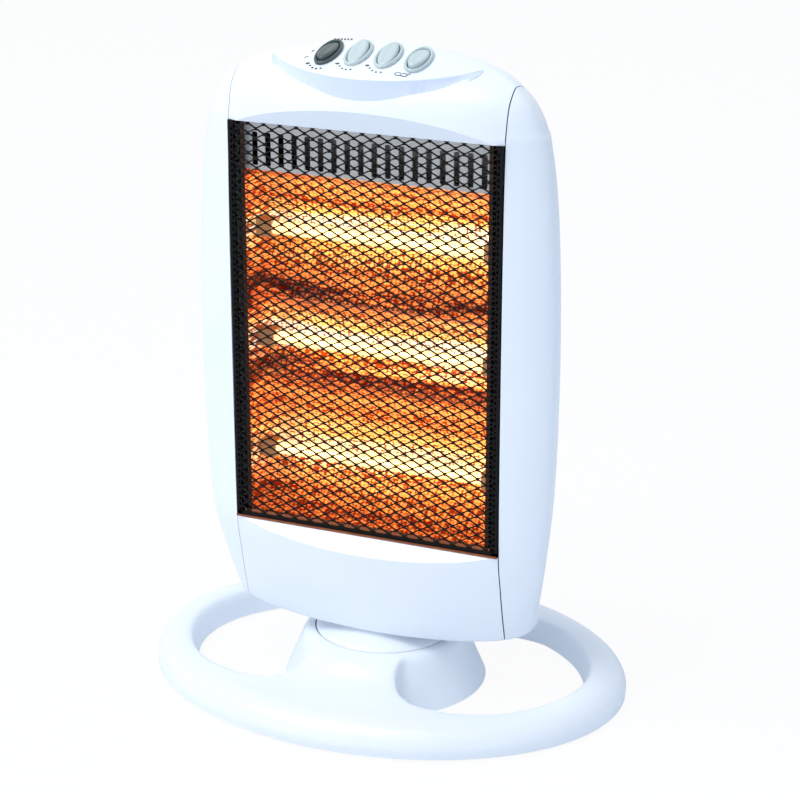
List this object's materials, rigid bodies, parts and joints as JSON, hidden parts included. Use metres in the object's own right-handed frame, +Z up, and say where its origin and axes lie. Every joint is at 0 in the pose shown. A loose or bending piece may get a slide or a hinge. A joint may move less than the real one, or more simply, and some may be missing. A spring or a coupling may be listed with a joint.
{
  "type": "halogen heater",
  "caption": "Upright electric radiant heater: a swinging head with halogen lamps behind a mesh guard and rocker switches on top, on an oval ring base.",
  "frame": {"origin": "centre of the base ring, on the floor", "axes": "+Z up, -Y towards the front with the guard, +X to the right seen from the front"},
  "size_m": [0.382, 0.2899, 0.5027],
  "materials": {
    "white_abs": "satin",
    "grey_switch": "satin",
    "dark_switch": "satin",
    "black_steel": "satin",
    "bright_aluminium": "dimpled, bright",
    "grey_steel": "satin",
    "zinc_steel": "zinc plated",
    "copper_steel": "heat-tinted",
    "quartz": "clear",
    "tungsten": "drawn wire",
    "ceramic": "unglazed",
    "rubber": "matt",
    "acetal": "natural",
    "black_plastic": "matt"
  },
  "bodies": {
    "base": {"base_shell": "white_abs", "base_bottom_cover": "white_abs", "rubber_foot_front_right": "rubber", "rubber_foot_front_left": "rubber", "rubber_foot_back_right": "rubber", "rubber_foot_back_left": "rubber", "cover_screw_1": "zinc_steel", "cover_screw_2": "zinc_steel", "cover_screw_3": "zinc_steel", "cover_screw_4": "zinc_steel", "motor_screw_1": "zinc_steel", "motor_screw_2": "zinc_steel", "cord_gland": "black_plastic", "journal_bush": "acetal", "slide_washer": "acetal", "swing_motor": "zinc_steel", "tilt_switch": "black_plastic"},
    "head": {"neck_turntable": "white_abs", "top_fascia": "white_abs", "chin_panel": "white_abs", "left_side_shell": "white_abs", "right_side_shell": "white_abs", "back_cover": "white_abs", "chassis_screw_1": "zinc_steel", "chassis_screw_2": "zinc_steel", "chassis_screw_3": "zinc_steel", "neck_retainer": "zinc_steel", "chassis_plate": "zinc_steel", "heat_shield": "zinc_steel", "sector_gear": "acetal", "thermal_cutout": "black_plastic", "terminal_block": "ceramic", "lamp_cap_left_1": "ceramic", "lamp_cap_left_2": "ceramic", "lamp_cap_left_3": "ceramic", "lamp_cap_right_1": "ceramic", "lamp_cap_right_2": "ceramic", "lamp_cap_right_3": "ceramic", "lamp_tube_1": "quartz", "lamp_tube_2": "quartz", "lamp_tube_3": "quartz", "lamp_filament_1": "tungsten", "lamp_filament_2": "tungsten", "lamp_filament_3": "tungsten", "guard_mesh": "black_steel", "lamp_bracket_left": "black_steel", "lamp_bracket_right": "black_steel", "guard_rail": "copper_steel", "reflector": "bright_aluminium", "slot_panel": "grey_steel", "switch_1_bezel": "dark_switch", "switch_2_bezel": "grey_switch", "switch_3_bezel": "grey_switch", "switch_4_bezel": "grey_switch"},
    "pinion": {"motor_pinion": "acetal"},
    "rocker_1": {"switch_1_rocker": "dark_switch"},
    "rocker_2": {"switch_2_rocker": "grey_switch"},
    "rocker_3": {"switch_3_rocker": "grey_switch"},
    "rocker_4": {"switch_4_rocker": "grey_switch"}
  },
  "joints": [
    {"name": "head_swing", "type": "hinge", "parent": "base", "child": "head", "pos_m": [0, -0.006, 0.0412], "axis": [0, 0, 1], "range_deg": [-35, 35]},
    {"name": "pinion_spin", "type": "hinge", "parent": "base", "child": "pinion", "pos_m": [0, 0.028, 0.03], "axis": [0, 0, 1], "range_deg": [-114, 114]},
    {"name": "rocker_1_tip", "type": "hinge", "parent": "head", "child": "rocker_1", "pos_m": [-0.03498, -0.02454, 0.49256], "axis": [0.9976, -0.0235, 0.0655], "range_deg": [0, 16]},
    {"name": "rocker_2_tip", "type": "hinge", "parent": "head", "child": "rocker_2", "pos_m": [-0.01166, -0.02454, 0.49364], "axis": [0.9997, -0.0078, 0.0218], "range_deg": [-16, 0]},
    {"name": "rocker_3_tip", "type": "hinge", "parent": "head", "child": "rocker_3", "pos_m": [0.01166, -0.02454, 0.49364], "axis": [0.9997, 0.0078, -0.0218], "range_deg": [-16, 0]},
    {"name": "rocker_4_tip", "type": "hinge", "parent": "head", "child": "rocker_4", "pos_m": [0.03498, -0.02454, 0.49256], "axis": [0.9976, 0.0235, -0.0655], "range_deg": [0, 16]}
  ],
  "couplings": [
    {"joint": "pinion_spin", "follows": "head_swing", "ratio": -3.25}
  ]
}
